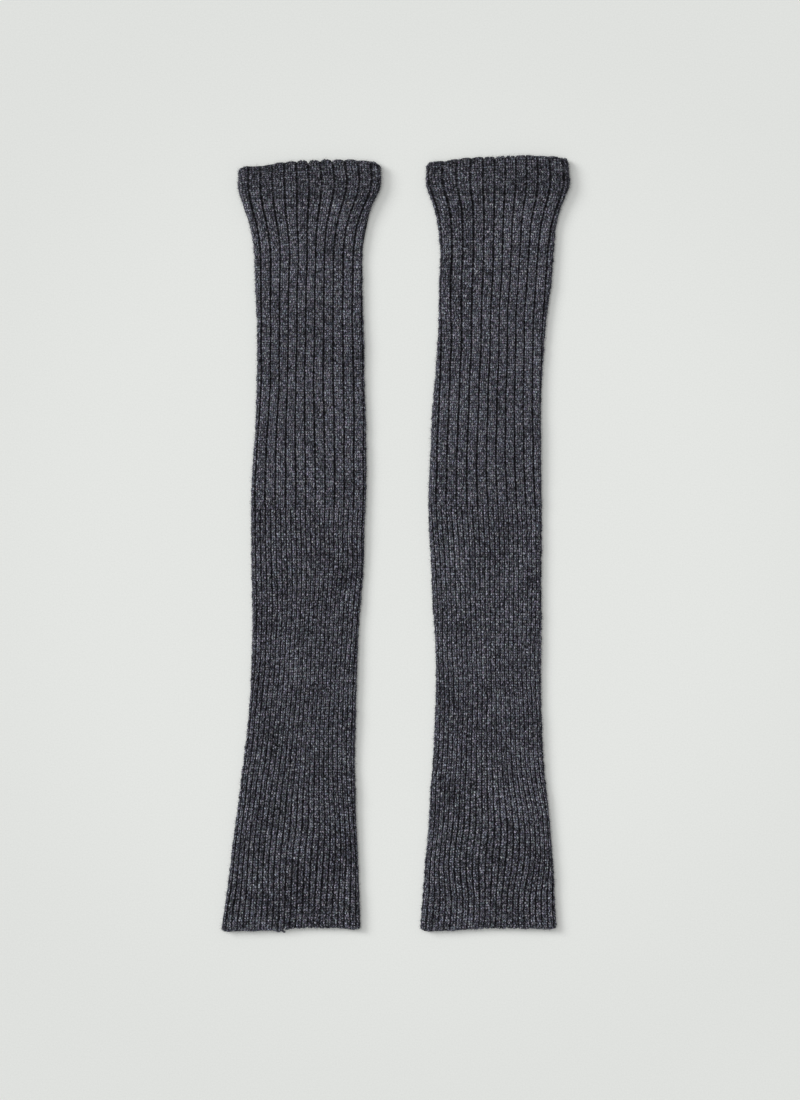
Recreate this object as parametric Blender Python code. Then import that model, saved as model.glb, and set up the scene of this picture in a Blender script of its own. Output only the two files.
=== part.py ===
"""A pair of long rib-knit arm warmers lying flat, side by side.

Each warmer is a knitted tube in three pieces: a doubled hem band turned in at the upper
arm, an upper tube in wide ribs, and a lower tube in narrow ribs that flares to the wrist.
A piece is one wall with ribs raised on its face and sides, a plain inside, open ends and
an underside that rests flat. The walls of a flattened tube lie almost on each other.

Metres, +Z up, +Y towards the upper arm, +X to the right as seen from above. The origin
is on the surface below the middle of the pair. The tables are in millimetres.
"""

from dataclasses import dataclass
from math import ceil, cos, pi, sin
from typing import NamedTuple

import bmesh
import bpy
from mathutils import Vector

MM = 0.001

# The flattened tube
HOLLOW = 0.6
UNDER_WALL_SHARE = 0.45
INNER_POINTS = 20

# Seams and ends
SEAM_GAP = 0.3
END_ROLL = 0.9
SECTION_CLEARANCE = 6.0
LONGEST_ROW = 32.0
SCALLOP_DEPTH = 1.1
SCALLOP_REACH = 8.0

# Ribs: a wide rib splits into two narrow ones
WIDE_RIBS_ROUND = 24
NARROW_RIBS_ROUND = 48
WIDE_GROOVE = 1.1
NARROW_GROOVE = 0.75
BAND_GROOVE = 0.8
WIDE_RIB_POINTS = (0.0, 0.16, 0.5, 0.84)
NARROW_RIB_POINTS = (0.0, 0.22, 0.78)
GROOVE_SHARPNESS = 16
RIB_CROWN = 0.25
FIRST_FACE_RIB = -2
FACE_RIBS = 15
UNDERSIDE_POINTS = 8
FADE_LOW = 0.12
FADE_HIGH = 0.6

# Charcoal heather wool
WOOL_COLOUR = (0.047, 0.047, 0.057, 1.0)
WOOL_ROUGHNESS = 0.95
SMOOTH_ANGLE = 0.7


class Section(NamedTuple):
    """One section across a flattened tube."""

    along: float  # from the middle of the pair towards the upper arm
    offset: float  # sideways from the warmer's own place
    width: float
    height: float


class RibRun(NamedTuple):
    """How the ribs lie round the tube at one place along it."""

    along: float
    turn: float  # how far round the first rib has turned, in wide ribs
    spread: float  # extra share of width of the ribs in the middle of the face
    lean: float  # crowding of the ribs towards one side


class EdgePoint(NamedTuple):
    """One point of an open end's outline."""

    across: float  # share of the width, from the left
    along: float


@dataclass(frozen=True)
class Warmer:
    """The sizes of one of the two warmers."""

    name: str
    place: float  # sideways place of the warmer in the pair
    link_line: float  # where the turned-in hem ends
    rib_change: float  # where the wide ribs split
    sections: tuple[Section, ...]
    rib_run: tuple[RibRun, ...]
    rim: tuple[EdgePoint, ...]
    wrist: tuple[EdgePoint, ...]


@dataclass(frozen=True)
class Knit:
    """The rib pattern of one piece."""

    ribs_round: int
    rib_points: tuple[float, ...]  # places across a rib that get a point
    groove: float
    scallop: float = 0.0

    @property
    def ribs_per_wide_rib(self):
        return self.ribs_round // WIDE_RIBS_ROUND


LEFT = Warmer(
    name="left",
    place=-66.8,
    link_line=248.4,
    rib_change=26.0,
    sections=(
        Section(272, 4.6, 103.0, 7.0),
        Section(260, 4.8, 103.5, 7.2),
        Section(251, 4.2, 99.5, 7.0),
        Section(243, 3.8, 93.0, 6.4),
        Section(230, 3.6, 84.0, 5.6),
        Section(216, 3.8, 80.0, 5.2),
        Section(190, 4.3, 78.0, 5.2),
        Section(140, 5.5, 77.3, 5.2),
        Section(100, 5.6, 79.2, 5.2),
        Section(60, 5.0, 82.0, 5.2),
        Section(26, 4.2, 83.3, 5.1),
        Section(-15, 3.7, 81.2, 4.9),
        Section(-50, 2.2, 78.0, 4.8),
        Section(-100, 0.6, 77.0, 4.8),
        Section(-145, -1.9, 80.0, 4.8),
        Section(-200, -5.1, 87.5, 4.9),
        Section(-240, -6.6, 94.0, 5.0),
        Section(-274, -8.4, 100.0, 5.0),
    ),
    rib_run=(
        RibRun(272, 1.04, -0.02, 0.03),
        RibRun(244, 1.04, 0.01, 0.00),
        RibRun(205, 0.86, -0.08, 0.00),
        RibRun(175, 0.74, -0.05, 0.03),
        RibRun(105, 0.66, -0.02, 0.08),
        RibRun(65, 0.52, 0.01, 0.00),
        RibRun(20, 0.60, -0.02, -0.05),
        RibRun(-40, 0.65, -0.08, -0.06),
        RibRun(-125, 0.42, -0.05, -0.06),
        RibRun(-170, 0.37, 0.04, -0.06),
        RibRun(-200, 0.53, 0.16, 0.00),
        RibRun(-228, 0.56, 0.13, 0.06),
        RibRun(-256, 0.49, 0.01, 0.03),
        RibRun(-274, 0.51, -0.02, 0.03),
    ),
    rim=(
        EdgePoint(0.00, 268.0),
        EdgePoint(0.05, 271.4),
        EdgePoint(0.18, 273.0),
        EdgePoint(0.30, 275.0),
        EdgePoint(0.60, 275.8),
        EdgePoint(0.75, 276.7),
        EdgePoint(0.93, 274.6),
        EdgePoint(1.00, 269.5),
    ),
    wrist=(
        EdgePoint(0.00, -276.6),
        EdgePoint(0.05, -278.3),
        EdgePoint(0.18, -279.4),
        EdgePoint(0.55, -277.4),
        EdgePoint(0.78, -276.5),
        EdgePoint(0.95, -278.2),
        EdgePoint(1.00, -276.4),
    ),
)

RIGHT = Warmer(
    name="right",
    place=68.0,
    link_line=251.6,
    rib_change=28.4,
    sections=(
        Section(275, 5.2, 103.2, 7.0),
        Section(260, 5.3, 103.7, 7.2),
        Section(251, 5.3, 99.5, 7.0),
        Section(243, 5.2, 93.0, 6.4),
        Section(230, 4.9, 85.8, 5.6),
        Section(216, 4.8, 82.8, 5.2),
        Section(187, 3.5, 81.2, 5.2),
        Section(165, 1.4, 78.4, 5.2),
        Section(129, -0.9, 77.0, 5.2),
        Section(100, -2.3, 78.5, 5.2),
        Section(60, -3.5, 81.0, 5.2),
        Section(28, -3.7, 82.7, 5.1),
        Section(-15, -3.0, 79.9, 4.9),
        Section(-50, -2.1, 78.3, 4.8),
        Section(-100, -1.2, 76.5, 4.8),
        Section(-145, -1.6, 78.8, 4.8),
        Section(-200, -0.9, 88.2, 4.9),
        Section(-235, -0.9, 93.3, 5.0),
        Section(-274, -1.6, 98.0, 5.0),
    ),
    rib_run=(
        RibRun(275, 0.34, -0.14, -0.09),
        RibRun(244, 0.42, -0.11, -0.06),
        RibRun(205, 0.28, -0.08, -0.09),
        RibRun(175, 0.32, -0.08, -0.09),
        RibRun(140, 0.62, -0.05, -0.09),
        RibRun(104, 0.84, -0.02, -0.06),
        RibRun(40, 1.00, 0.01, -0.05),
        RibRun(3, 1.18, 0.05, -0.06),
        RibRun(-40, 1.22, 0.04, -0.03),
        RibRun(-84, 1.05, 0.01, -0.06),
        RibRun(-127, 1.26, 0.04, -0.03),
        RibRun(-170, 1.26, 0.10, -0.03),
        RibRun(-200, 1.46, 0.22, 0.00),
        RibRun(-228, 1.33, 0.22, 0.03),
        RibRun(-256, 1.18, -0.02, 0.00),
        RibRun(-274, 1.16, -0.02, 0.00),
    ),
    rim=(
        EdgePoint(0.00, 270.5),
        EdgePoint(0.05, 274.6),
        EdgePoint(0.27, 276.6),
        EdgePoint(0.50, 278.6),
        EdgePoint(0.70, 279.3),
        EdgePoint(0.84, 279.1),
        EdgePoint(0.95, 276.8),
        EdgePoint(1.00, 272.0),
    ),
    wrist=(
        EdgePoint(0.00, -276.4),
        EdgePoint(0.04, -278.2),
        EdgePoint(0.16, -279.4),
        EdgePoint(0.38, -278.0),
        EdgePoint(0.75, -277.0),
        EdgePoint(0.96, -277.0),
        EdgePoint(1.00, -275.4),
    ),
)

BAND_KNIT = Knit(WIDE_RIBS_ROUND, WIDE_RIB_POINTS, BAND_GROOVE, scallop=SCALLOP_DEPTH)
WIDE_KNIT = Knit(WIDE_RIBS_ROUND, WIDE_RIB_POINTS, WIDE_GROOVE)
NARROW_KNIT = Knit(NARROW_RIBS_ROUND, NARROW_RIB_POINTS, NARROW_GROOVE)


def read_table(rows, key, column, value):
    """Read one column of a table at a place between its rows, along a smooth curve."""
    rows = sorted(rows, key=lambda row: getattr(row, key))
    places = [getattr(row, key) for row in rows]
    values = [getattr(row, column) for row in rows]
    if value <= places[0]:
        return values[0]
    if value >= places[-1]:
        return values[-1]
    upper = next(i for i, place in enumerate(places) if place > value)
    lower = upper - 1
    step = places[upper] - places[lower]
    slope = (values[upper] - values[lower]) / step
    slope_in = slope_out = slope
    if lower > 0:
        slope_in = (values[upper] - values[lower - 1]) / (places[upper] - places[lower - 1])
    if upper < len(rows) - 1:
        slope_out = (values[upper + 1] - values[lower]) / (places[upper + 1] - places[lower])
    share = (value - places[lower]) / step
    rise = 3 * share**2 - 2 * share**3
    bend_in = share * (1 - share) ** 2 * step
    bend_out = share**2 * (1 - share) * step
    return values[lower] + (values[upper] - values[lower]) * rise + slope_in * bend_in - slope_out * bend_out


def ease(low, high, value):
    """Rise smoothly from 0 at low to 1 at high."""
    share = min(1.0, max(0.0, (value - low) / (high - low)))
    return share * share * (3 - 2 * share)


def outline_point(turn, width, height):
    """Return x, z and the facing of a flattened tube's outline at a share of the way round.

    The way round starts at the middle of the left side and runs over the face.
    """
    radius = height / 2
    half_round = pi * radius
    straight = width - height
    run = (turn * 2 * (half_round + straight) + half_round / 2) % (2 * (half_round + straight))
    if run < half_round:
        angle = -pi / 2 - run / radius
        return -straight / 2 + radius * cos(angle), radius + radius * sin(angle), angle
    run -= half_round
    if run < straight:
        return -straight / 2 + run, height, pi / 2
    run -= straight
    if run < half_round:
        angle = pi / 2 - run / radius
        return straight / 2 + radius * cos(angle), radius + radius * sin(angle), angle
    return straight / 2 - (run - half_round), 0.0, -pi / 2


def rib_turn(rib, knit, warmer, along):
    """Return the share of the way round at which a rib, or a fraction of one, lies."""
    first = read_table(warmer.rib_run, "along", "turn", along) * knit.ribs_per_wide_rib
    spread = read_table(warmer.rib_run, "along", "spread", along)
    lean = read_table(warmer.rib_run, "along", "lean", along)
    turn = (rib + first) / knit.ribs_round
    wave = 4 * pi * turn
    return turn - (spread * sin(wave) + lean * (1 - cos(wave))) / (4 * pi)


def groove_share(rib):
    """Return 1 in the narrow groove where a rib starts and 0 on the rib's low crown."""
    nearness = abs(cos(pi * rib))
    return (1 - RIB_CROWN) * nearness**GROOVE_SHARPNESS + RIB_CROWN * nearness**2


def outer_ribs(knit):
    """List the places round the face and sides, counted in ribs, that get a point."""
    first = FIRST_FACE_RIB * knit.ribs_per_wide_rib
    last = first + FACE_RIBS * knit.ribs_per_wide_rib
    return [rib + point for rib in range(first, last) for point in knit.rib_points] + [last]


def outer_turns(knit, warmer, along):
    """List each outer point's share of the way round and its groove share."""
    turns = [(rib_turn(rib, knit, warmer, along), groove_share(rib)) for rib in outer_ribs(knit)]
    start, end = turns[0][0] + 1, turns[-1][0]
    step = (start - end) / (UNDERSIDE_POINTS + 1)
    return turns + [(end + step * (i + 1), 0.0) for i in range(UNDERSIDE_POINTS)]


def inner_turns():
    """List the inner points' shares of the way round."""
    return [(i - 1) / INNER_POINTS for i in range(INNER_POINTS)]


class TubePiece:
    """One knitted tube between two end lines of a warmer."""

    def __init__(self, warmer, knit, name, low_line, high_line, low_roll, high_roll):
        """Hold a piece's ends: each line gives a place along for a share of the width."""
        self.warmer = warmer
        self.knit = knit
        self.name = f"{warmer.name}_{name}"
        self.low_line = low_line
        self.high_line = high_line
        self.low_roll = low_roll
        self.high_roll = high_roll

    def rows(self):
        """List the rings from the low end to the high end as places along and rolls."""
        low, high = self.low_line(0.5), self.high_line(0.5)
        places = [low]
        places += [
            section.along
            for section in reversed(self.warmer.sections)
            if low + SECTION_CLEARANCE < section.along < high - SECTION_CLEARANCE
        ]
        places.append(high)
        inside = []
        for start, end in zip(places, places[1:]):
            steps = ceil((end - start) / LONGEST_ROW)
            inside += [(start + (end - start) * i / steps, 0.0) for i in range(steps)]
        low_end = self.end_rows(low, 1, self.low_roll)
        high_end = self.end_rows(high, -1, self.high_roll)[::-1]
        return low_end + inside[1:] + high_end

    @staticmethod
    def end_rows(end, inward, roll):
        """List the rings at one end, drawn in so that a free edge is round."""
        if not roll:
            return [(end, 0.0)]
        angles = (0.0, pi / 5, pi / 2)
        return [(end + inward * roll * (1 - cos(a)) * 1.4, roll * (1 - sin(a))) for a in angles]

    def lay(self, across, along):
        """Bend a place along so that the piece's ends follow their lines."""
        low, high = self.low_line(0.5), self.high_line(0.5)
        share = (along - low) / (high - low)
        return self.low_line(across) * (1 - share) + self.high_line(across) * share

    def sizes(self, along):
        """Return the offset, width and height of the tube at a place along."""
        table = self.warmer.sections
        return [read_table(table, "along", column, along) for column in ("offset", "width", "height")]

    def outer_ring(self, along, roll):
        """Return the outer points of one ring, with ribs raised on face and sides."""
        offset, width, height = self.sizes(along)
        near_end = max(0.0, 1 - (self.high_line(0.5) - along) / SCALLOP_REACH)
        ring = []
        for turn, groove in outer_turns(self.knit, self.warmer, along):
            x, z, facing = outline_point(turn, width, height)
            inset = roll + self.knit.groove * groove * ease(FADE_LOW, FADE_HIGH, z / height)
            x -= inset * cos(facing)
            z -= inset * sin(facing)
            y = self.lay(x / width + 0.5, along) - self.knit.scallop * groove * near_end
            ring.append(Vector((x + offset, y, z)) * MM)
        return ring

    def inner_ring(self, along):
        """Return the inner points of one ring, round the thin space between the walls."""
        offset, width, height = self.sizes(along)
        under_wall = (height - HOLLOW) * UNDER_WALL_SHARE
        inner_width = width - (height - HOLLOW)
        ring = []
        for turn in inner_turns():
            x, z, _ = outline_point(turn, inner_width, HOLLOW)
            y = self.lay(x / width + 0.5, along)
            ring.append(Vector((x + offset, y, z + under_wall)) * MM)
        return ring

    def close_end(self, mesh, outer, inner, along):
        """Fill an end between its outer and inner rings, whose points differ in number."""
        outer_places = [turn for turn, _ in outer_turns(self.knit, self.warmer, along)]
        inner_places = inner_turns()
        outer_places.append(outer_places[0] + 1)
        inner_places.append(inner_places[0] + 1)
        i = j = 0
        while i < len(outer) or j < len(inner):
            outer_next = j == len(inner) or (i < len(outer) and outer_places[i + 1] <= inner_places[j + 1])
            corners = [outer[i % len(outer)], inner[j % len(inner)]]
            if outer_next:
                i += 1
                corners.append(outer[i % len(outer)])
            else:
                j += 1
                corners.append(inner[j % len(inner)])
            mesh.faces.new(corners)

    def mesh(self):
        """Build the piece's wall as one closed mesh."""
        mesh = bmesh.new()
        rows = self.rows()
        outer = [[mesh.verts.new(p) for p in self.outer_ring(along, roll)] for along, roll in rows]
        inner = [[mesh.verts.new(p) for p in self.inner_ring(along)] for along, _ in rows]
        for rings in (outer, inner):
            for low, high in zip(rings, rings[1:]):
                for i in range(len(low)):
                    j = (i + 1) % len(low)
                    mesh.faces.new((low[i], low[j], high[j], high[i]))
        for end in (0, -1):
            self.close_end(mesh, outer[end], inner[end], rows[end][0])
        bmesh.ops.recalc_face_normals(mesh, faces=mesh.faces)
        data = bpy.data.meshes.new(self.name)
        mesh.to_mesh(data)
        mesh.free()
        data.shade_smooth()
        data.set_sharp_from_angle(angle=SMOOTH_ANGLE)
        return data


def edge_line(points):
    """Return a line that follows an open end's outline."""
    return lambda across: read_table(points, "across", "along", across)


def straight_line(along):
    """Return a line straight across at a place along."""
    return lambda across: along


def warmer_pieces(warmer):
    """List the three pieces of a warmer from the upper arm to the wrist."""
    half_gap = SEAM_GAP / 2
    return (
        TubePiece(
            warmer,
            BAND_KNIT,
            "hem_band",
            low_line=straight_line(warmer.link_line + half_gap),
            high_line=edge_line(warmer.rim),
            low_roll=0.0,
            high_roll=END_ROLL,
        ),
        TubePiece(
            warmer,
            WIDE_KNIT,
            "upper_tube",
            low_line=straight_line(warmer.rib_change + half_gap),
            high_line=straight_line(warmer.link_line - half_gap),
            low_roll=0.0,
            high_roll=0.0,
        ),
        TubePiece(
            warmer,
            NARROW_KNIT,
            "lower_tube",
            low_line=edge_line(warmer.wrist),
            high_line=straight_line(warmer.rib_change - half_gap),
            low_roll=END_ROLL,
            high_roll=0.0,
        ),
    )


def wool_material(name):
    """Make one piece's own charcoal wool material."""
    material = bpy.data.materials.new(name)
    material.use_nodes = True
    shader = material.node_tree.nodes["Principled BSDF"]
    shader.inputs["Base Color"].default_value = WOOL_COLOUR
    shader.inputs["Roughness"].default_value = WOOL_ROUGHNESS
    shader.inputs["Metallic"].default_value = 0.0
    return material


def clear_scene():
    """Remove the objects that the scene starts with."""
    for item in list(bpy.data.objects):
        bpy.data.objects.remove(item, do_unlink=True)


def main():
    """Build both warmers."""
    clear_scene()
    collection = bpy.data.collections.new("arm_warmers")
    bpy.context.scene.collection.children.link(collection)
    for warmer in (LEFT, RIGHT):
        place = bpy.data.objects.new(f"{warmer.name}_warmer", None)
        place.location.x = warmer.place * MM
        collection.objects.link(place)
        for piece in warmer_pieces(warmer):
            body = bpy.data.objects.new(piece.name, piece.mesh())
            body.data.materials.append(wool_material(piece.name))
            body.parent = place
            collection.objects.link(body)


main()
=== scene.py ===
"""Looks of a pair of long rib-knit arm warmers that lie flat, side by side.

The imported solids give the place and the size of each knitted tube. This script dresses
each tube with a shell whose face is knitted stitch by stitch, and adds the loose fibres,
the yarn end, the pale surface, the soft studio light and the camera straight above.

Lengths in the tables are millimetres, and every mesh is in metres. +Y runs towards the
upper arm, +X to the right and +Z up.
"""

from __future__ import annotations

import logging
import math
from dataclasses import dataclass, field
from enum import Enum
from functools import partial
from typing import Callable

import bmesh
import bpy
import numpy as np
from bpy.types import ID, Material, Mesh, Node, NodeSocket, NodeTree, Object
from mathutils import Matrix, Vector

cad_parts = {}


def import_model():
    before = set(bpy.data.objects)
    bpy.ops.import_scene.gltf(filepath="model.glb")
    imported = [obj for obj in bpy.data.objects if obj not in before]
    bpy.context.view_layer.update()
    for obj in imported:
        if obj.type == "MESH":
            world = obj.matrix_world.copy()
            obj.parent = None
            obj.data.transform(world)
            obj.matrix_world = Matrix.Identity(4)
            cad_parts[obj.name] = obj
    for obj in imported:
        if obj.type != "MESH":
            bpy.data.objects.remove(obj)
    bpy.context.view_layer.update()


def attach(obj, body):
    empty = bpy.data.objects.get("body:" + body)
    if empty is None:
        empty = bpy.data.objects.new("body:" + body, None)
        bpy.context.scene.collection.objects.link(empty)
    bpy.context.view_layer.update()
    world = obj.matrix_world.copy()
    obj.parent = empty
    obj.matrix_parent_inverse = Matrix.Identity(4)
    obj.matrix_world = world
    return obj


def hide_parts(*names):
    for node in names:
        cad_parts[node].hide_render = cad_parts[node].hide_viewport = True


log = logging.getLogger("arm_warmers")
Array = np.ndarray

MM = 0.001

# The photograph's frame, for the camera
PHOTO_HEIGHT_PX = 1100
MM_PER_PX = 0.72
PHOTO_MIDDLE_X = 2.7
PHOTO_MIDDLE_Y = -4.3

# The flattened tube: its hollow, the width at which its grooves are at rest, how far the
# stitches bulge at its right side, the under wall's share of both walls, and how far two
# stretches run over each other
HOLLOW = 0.6
RESTING_WIDTH = 76.5
SIDE_BULGE = 0.7
UNDER_WALL_SHARE = 0.45
SEAM_OVERLAP = 0.4

# The ribs: how many wide ones go round, and the shares of the way round between which
# they are modelled, which take in the face and both sides
WIDE_RIBS_ROUND = 24
FACE_START = -0.018
FACE_END = 0.52

# One stitch is a vee. Its columns: place across it, share of its rise, lateral relief
VEE_COLUMNS = ((0.27, 0.5, 0.6), (0.5, 0.0, -0.25), (0.73, 0.5, 0.6))
VEE_RISE = 0.80
ROWS_PER_COURSE = 2
LEG_RELIEF = 0.55
CREST_RELIEF = 0.8
CREST_WEIGHT, LEG_GAIN = 0.5, 0.35
YARN_TENSION = (0.55, 1.35)
YARN_ROUGHNESS = 0.035

# Grooves near an end: the share that a cast-on edge starts with, what it gains and over
# which millimetres, and how far a new groove and a linked band take to reach their depth
CAST_ON_SHARE = 0.25
CAST_ON_GAINS = ((0.5, 0.3, 3.4), (0.25, 3.0, 24.0))
NEW_GROOVE_START = -0.5
LINK_FADE = 6.0

# Painted shade along a piece: the doubled band, its fold, and the lines where pieces join
BAND_PAINTED_LIGHT = 0.79
FOLD_SHADE, FOLD_WIDTH = 0.10, 5.0
LINK_SHADE, JOIN_SHADE, JOIN_WIDTH = 0.30, 0.25, 1.3
GATHER_WIDTH = 1.6

# The open edges: more loops than an edge has, so that each has its own size, the range
# of those sizes, how small every other loop is, and how near an end the vees stand
# straight
EDGE_LOOPS = 512
LOOP_SIZES = (0.5, 1.5)
SMALL_LOOP = 0.25
CALM_END = 2.0

# From side to face: the shares of the height over which the stitches come in, how far the
# underside lifts, and the least painted shade of a groove, which also marks an outer wall
FACE_RISE = (0.10, 0.55)
UNDERSIDE_LIFT = 0.2
FAINTEST_GROOVE = 0.02

# How many places along a stretch are read for its ribs' reach and for its flat size, and
# how near counts as touching, in metres, where a seam is welded and where a shape is cut
RIB_SAMPLES, SIZE_SAMPLES = 40, 60
WELD_REACH, CUT_REACH = 1e-7, 1e-6

# Each warmer's seed, and what each kind of random draw adds to it
LEFT_SEED, RIGHT_SEED = 11, 23
EDGE_DRAW = 40
NAP_DRAW = 70
BEND_DRAW = 1

# Three waves that never fall in step: weight, turns along and across, and shift by seed
WAVES = ((1.0, 0.91, 0.37, 1.7), (1.0, 0.53, -0.71, 2.9), (0.6, 1.37, 0.83, 4.3))
WAVES_REACH = 2.2


class Hand(Enum):
    """Which of the two warmers a piece belongs to."""

    LEFT = "left"
    RIGHT = "right"


class Stretch(Enum):
    """The three knitted stretches of a warmer."""

    HEM_BAND = "hem_band"
    UPPER_TUBE = "upper_tube"
    LOWER_TUBE = "lower_tube"


@dataclass(frozen=True)
class Section:
    """One section across a flattened tube, in millimetres."""

    along: float
    offset: float
    width: float
    height: float


@dataclass(frozen=True)
class RibRun:
    """How the ribs lie round the tube at one place along it."""

    along: float
    turn: float
    spread: float
    lean: float


@dataclass(frozen=True)
class EdgePoint:
    """One point of an open end's outline, by its share of the width."""

    across: float
    along: float


def curve_through(places: Array, values: Array, where: Array) -> Array:
    """Read a smooth curve through a table's points.

    Args:
        places: The table's places, rising.
        values: The table's values at those places.
        where: The places to read, of any shape.

    Returns:
        The curve's values, in the shape of where.
    """
    slopes = np.gradient(values, places)
    slopes[0] = (values[1] - values[0]) / (places[1] - places[0])
    slopes[-1] = (values[-1] - values[-2]) / (places[-1] - places[-2])
    inside = np.clip(where, places[0], places[-1])
    upper = np.clip(np.searchsorted(places, inside, side="right"), 1, len(places) - 1)
    lower = upper - 1
    step = places[upper] - places[lower]
    share = (inside - places[lower]) / step
    rise = share * share * (3 - 2 * share)
    bend_in = share * (1 - share) ** 2 * step
    bend_out = share**2 * (1 - share) * step
    level = values[lower] + (values[upper] - values[lower]) * rise
    return level + slopes[lower] * bend_in - slopes[upper] * bend_out


def read_column(table: tuple, key: str, column: str, where: Array) -> Array:
    """Read one named column of a table along a smooth curve.

    Args:
        table: The table's rows.
        key: The column that gives each row's place.
        column: The column to read.
        where: The places to read, of any shape.

    Returns:
        The column's values, in the shape of where.
    """
    rows = sorted(table, key=lambda row: getattr(row, key))
    places = np.array([getattr(row, key) for row in rows], float)
    values = np.array([getattr(row, column) for row in rows], float)
    return curve_through(places, values, np.asarray(where, float))


def ease(low: float, high: float, value: Array) -> Array:
    """Rise smoothly from 0 at low to 1 at high."""
    share = np.clip((value - low) / (high - low), 0.0, 1.0)
    return share * share * (3 - 2 * share)


@dataclass(frozen=True)
class Ripple:
    """One soft unevenness of the cloth, which never repeats.

    The height is in the unit of what is moved, the length is the usual distance between
    two crests in millimetres, and the reach is the millimetres in one step across.
    """

    height: float
    length: float
    shift: int = 0
    reach: float = 1.0

    def over(self, across: Array, along: Array, seed: int) -> Array:
        """Work out the unevenness at places on the cloth.

        Args:
            across: Places across, in steps of the ripple's reach.
            along: Places along, in millimetres.
            seed: The warmer's own number, which shifts the pattern.

        Returns:
            The move at each place, between about plus and minus the height.
        """
        turn = 2 * math.pi / self.length
        across = across * self.reach
        total = 0.0
        for weight, by_along, by_across, by_seed in WAVES:
            phase = along * turn * by_along + across * turn * by_across + (seed + self.shift) * by_seed
            total = total + weight * np.sin(phase)
        return self.height * (total / WAVES_REACH)


SWAY = Ripple(0.035, 46.0, reach=7.0)
WOBBLE = Ripple(0.012, 9.0, 2, reach=31.0)
# Patches where the grooves' painted shade is deeper or fainter
GROOVE_PATCHES = Ripple(0.25, 37.0, 17, reach=9.0)
EDGE_WANDER = Ripple(0.3, 5.5, 21, reach=1.8)
UNDERSIDE_RIPPLE = Ripple(0.5, 33.0, 11)
CREASES = (Ripple(0.35, 62.0, 3), Ripple(0.12, 24.0, 5))
SIDE_LUMPS = (Ripple(0.26, 8.3, 7), Ripple(0.24, 4.1, 9), Ripple(0.20, 1.9, 13))


@dataclass(frozen=True)
class Lie:
    """How one warmer lies on the surface, in millimetres."""

    hand: Hand
    place: float
    link_line: float
    rib_change: float
    openness: float
    sections: tuple[Section, ...]
    rib_run: tuple[RibRun, ...]
    rim: tuple[EdgePoint, ...]
    wrist: tuple[EdgePoint, ...]

    def size(self, column: str, along: Array) -> Array:
        """Read offset, width or height at places along."""
        return read_column(self.sections, "along", column, along)

    def run(self, column: str, along: Array) -> Array:
        """Read the ribs' turn, spread or lean at places along."""
        return read_column(self.rib_run, "along", column, along)


LEFT_LIE = Lie(
    hand=Hand.LEFT,
    place=-66.8,
    link_line=248.4,
    rib_change=26.0,
    openness=1.15,
    sections=(
        Section(272, 4.6, 103.0, 7.0),
        Section(260, 4.8, 103.5, 7.2),
        Section(251, 4.2, 99.5, 7.0),
        Section(243, 3.5, 93.6, 6.4),
        Section(230, 3.2, 84.8, 5.6),
        Section(216, 3.6, 80.4, 5.2),
        Section(190, 4.3, 78.0, 5.2),
        Section(140, 5.5, 77.3, 5.2),
        Section(100, 5.6, 79.2, 5.2),
        Section(60, 5.0, 82.0, 5.2),
        Section(28, 3.9, 82.8, 5.1),
        Section(12, 3.3, 82.0, 5.0),
        Section(-15, 3.5, 81.9, 4.9),
        Section(-50, 2.2, 78.0, 4.8),
        Section(-100, 0.6, 77.0, 4.8),
        Section(-145, -1.9, 80.0, 4.8),
        Section(-200, -5.1, 87.5, 4.9),
        Section(-240, -6.6, 94.8, 5.0),
        Section(-274, -8.6, 100.6, 5.0),
    ),
    rib_run=(
        RibRun(272, 1.04, -0.02, 0.03),
        RibRun(244, 1.04, 0.01, 0.00),
        RibRun(205, 0.86, -0.08, 0.00),
        RibRun(175, 0.74, -0.05, 0.03),
        RibRun(105, 0.66, -0.02, 0.08),
        RibRun(65, 0.52, 0.01, 0.00),
        RibRun(20, 0.60, -0.02, -0.05),
        RibRun(-40, 0.65, -0.08, -0.06),
        RibRun(-125, 0.42, -0.05, -0.06),
        RibRun(-170, 0.37, 0.04, -0.06),
        RibRun(-200, 0.53, 0.16, 0.00),
        RibRun(-228, 0.56, 0.13, 0.06),
        RibRun(-256, 0.49, 0.01, 0.03),
        RibRun(-274, 0.51, -0.02, 0.03),
    ),
    rim=(
        EdgePoint(0.00, 268.7),
        EdgePoint(0.02, 270.4),
        EdgePoint(0.12, 271.5),
        EdgePoint(0.20, 272.5),
        EdgePoint(0.30, 274.4),
        EdgePoint(0.42, 275.6),
        EdgePoint(0.62, 276.5),
        EdgePoint(0.82, 276.2),
        EdgePoint(0.90, 275.6),
        EdgePoint(0.96, 274.6),
        EdgePoint(1.00, 271.2),
    ),
    wrist=(
        EdgePoint(0.00, -277.5),
        EdgePoint(0.02, -278.3),
        EdgePoint(0.10, -278.5),
        EdgePoint(0.30, -278.2),
        EdgePoint(0.45, -277.8),
        EdgePoint(0.52, -276.7),
        EdgePoint(0.70, -276.4),
        EdgePoint(0.85, -276.4),
        EdgePoint(0.92, -277.0),
        EdgePoint(0.98, -277.2),
        EdgePoint(1.00, -276.7),
    ),
)

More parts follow.
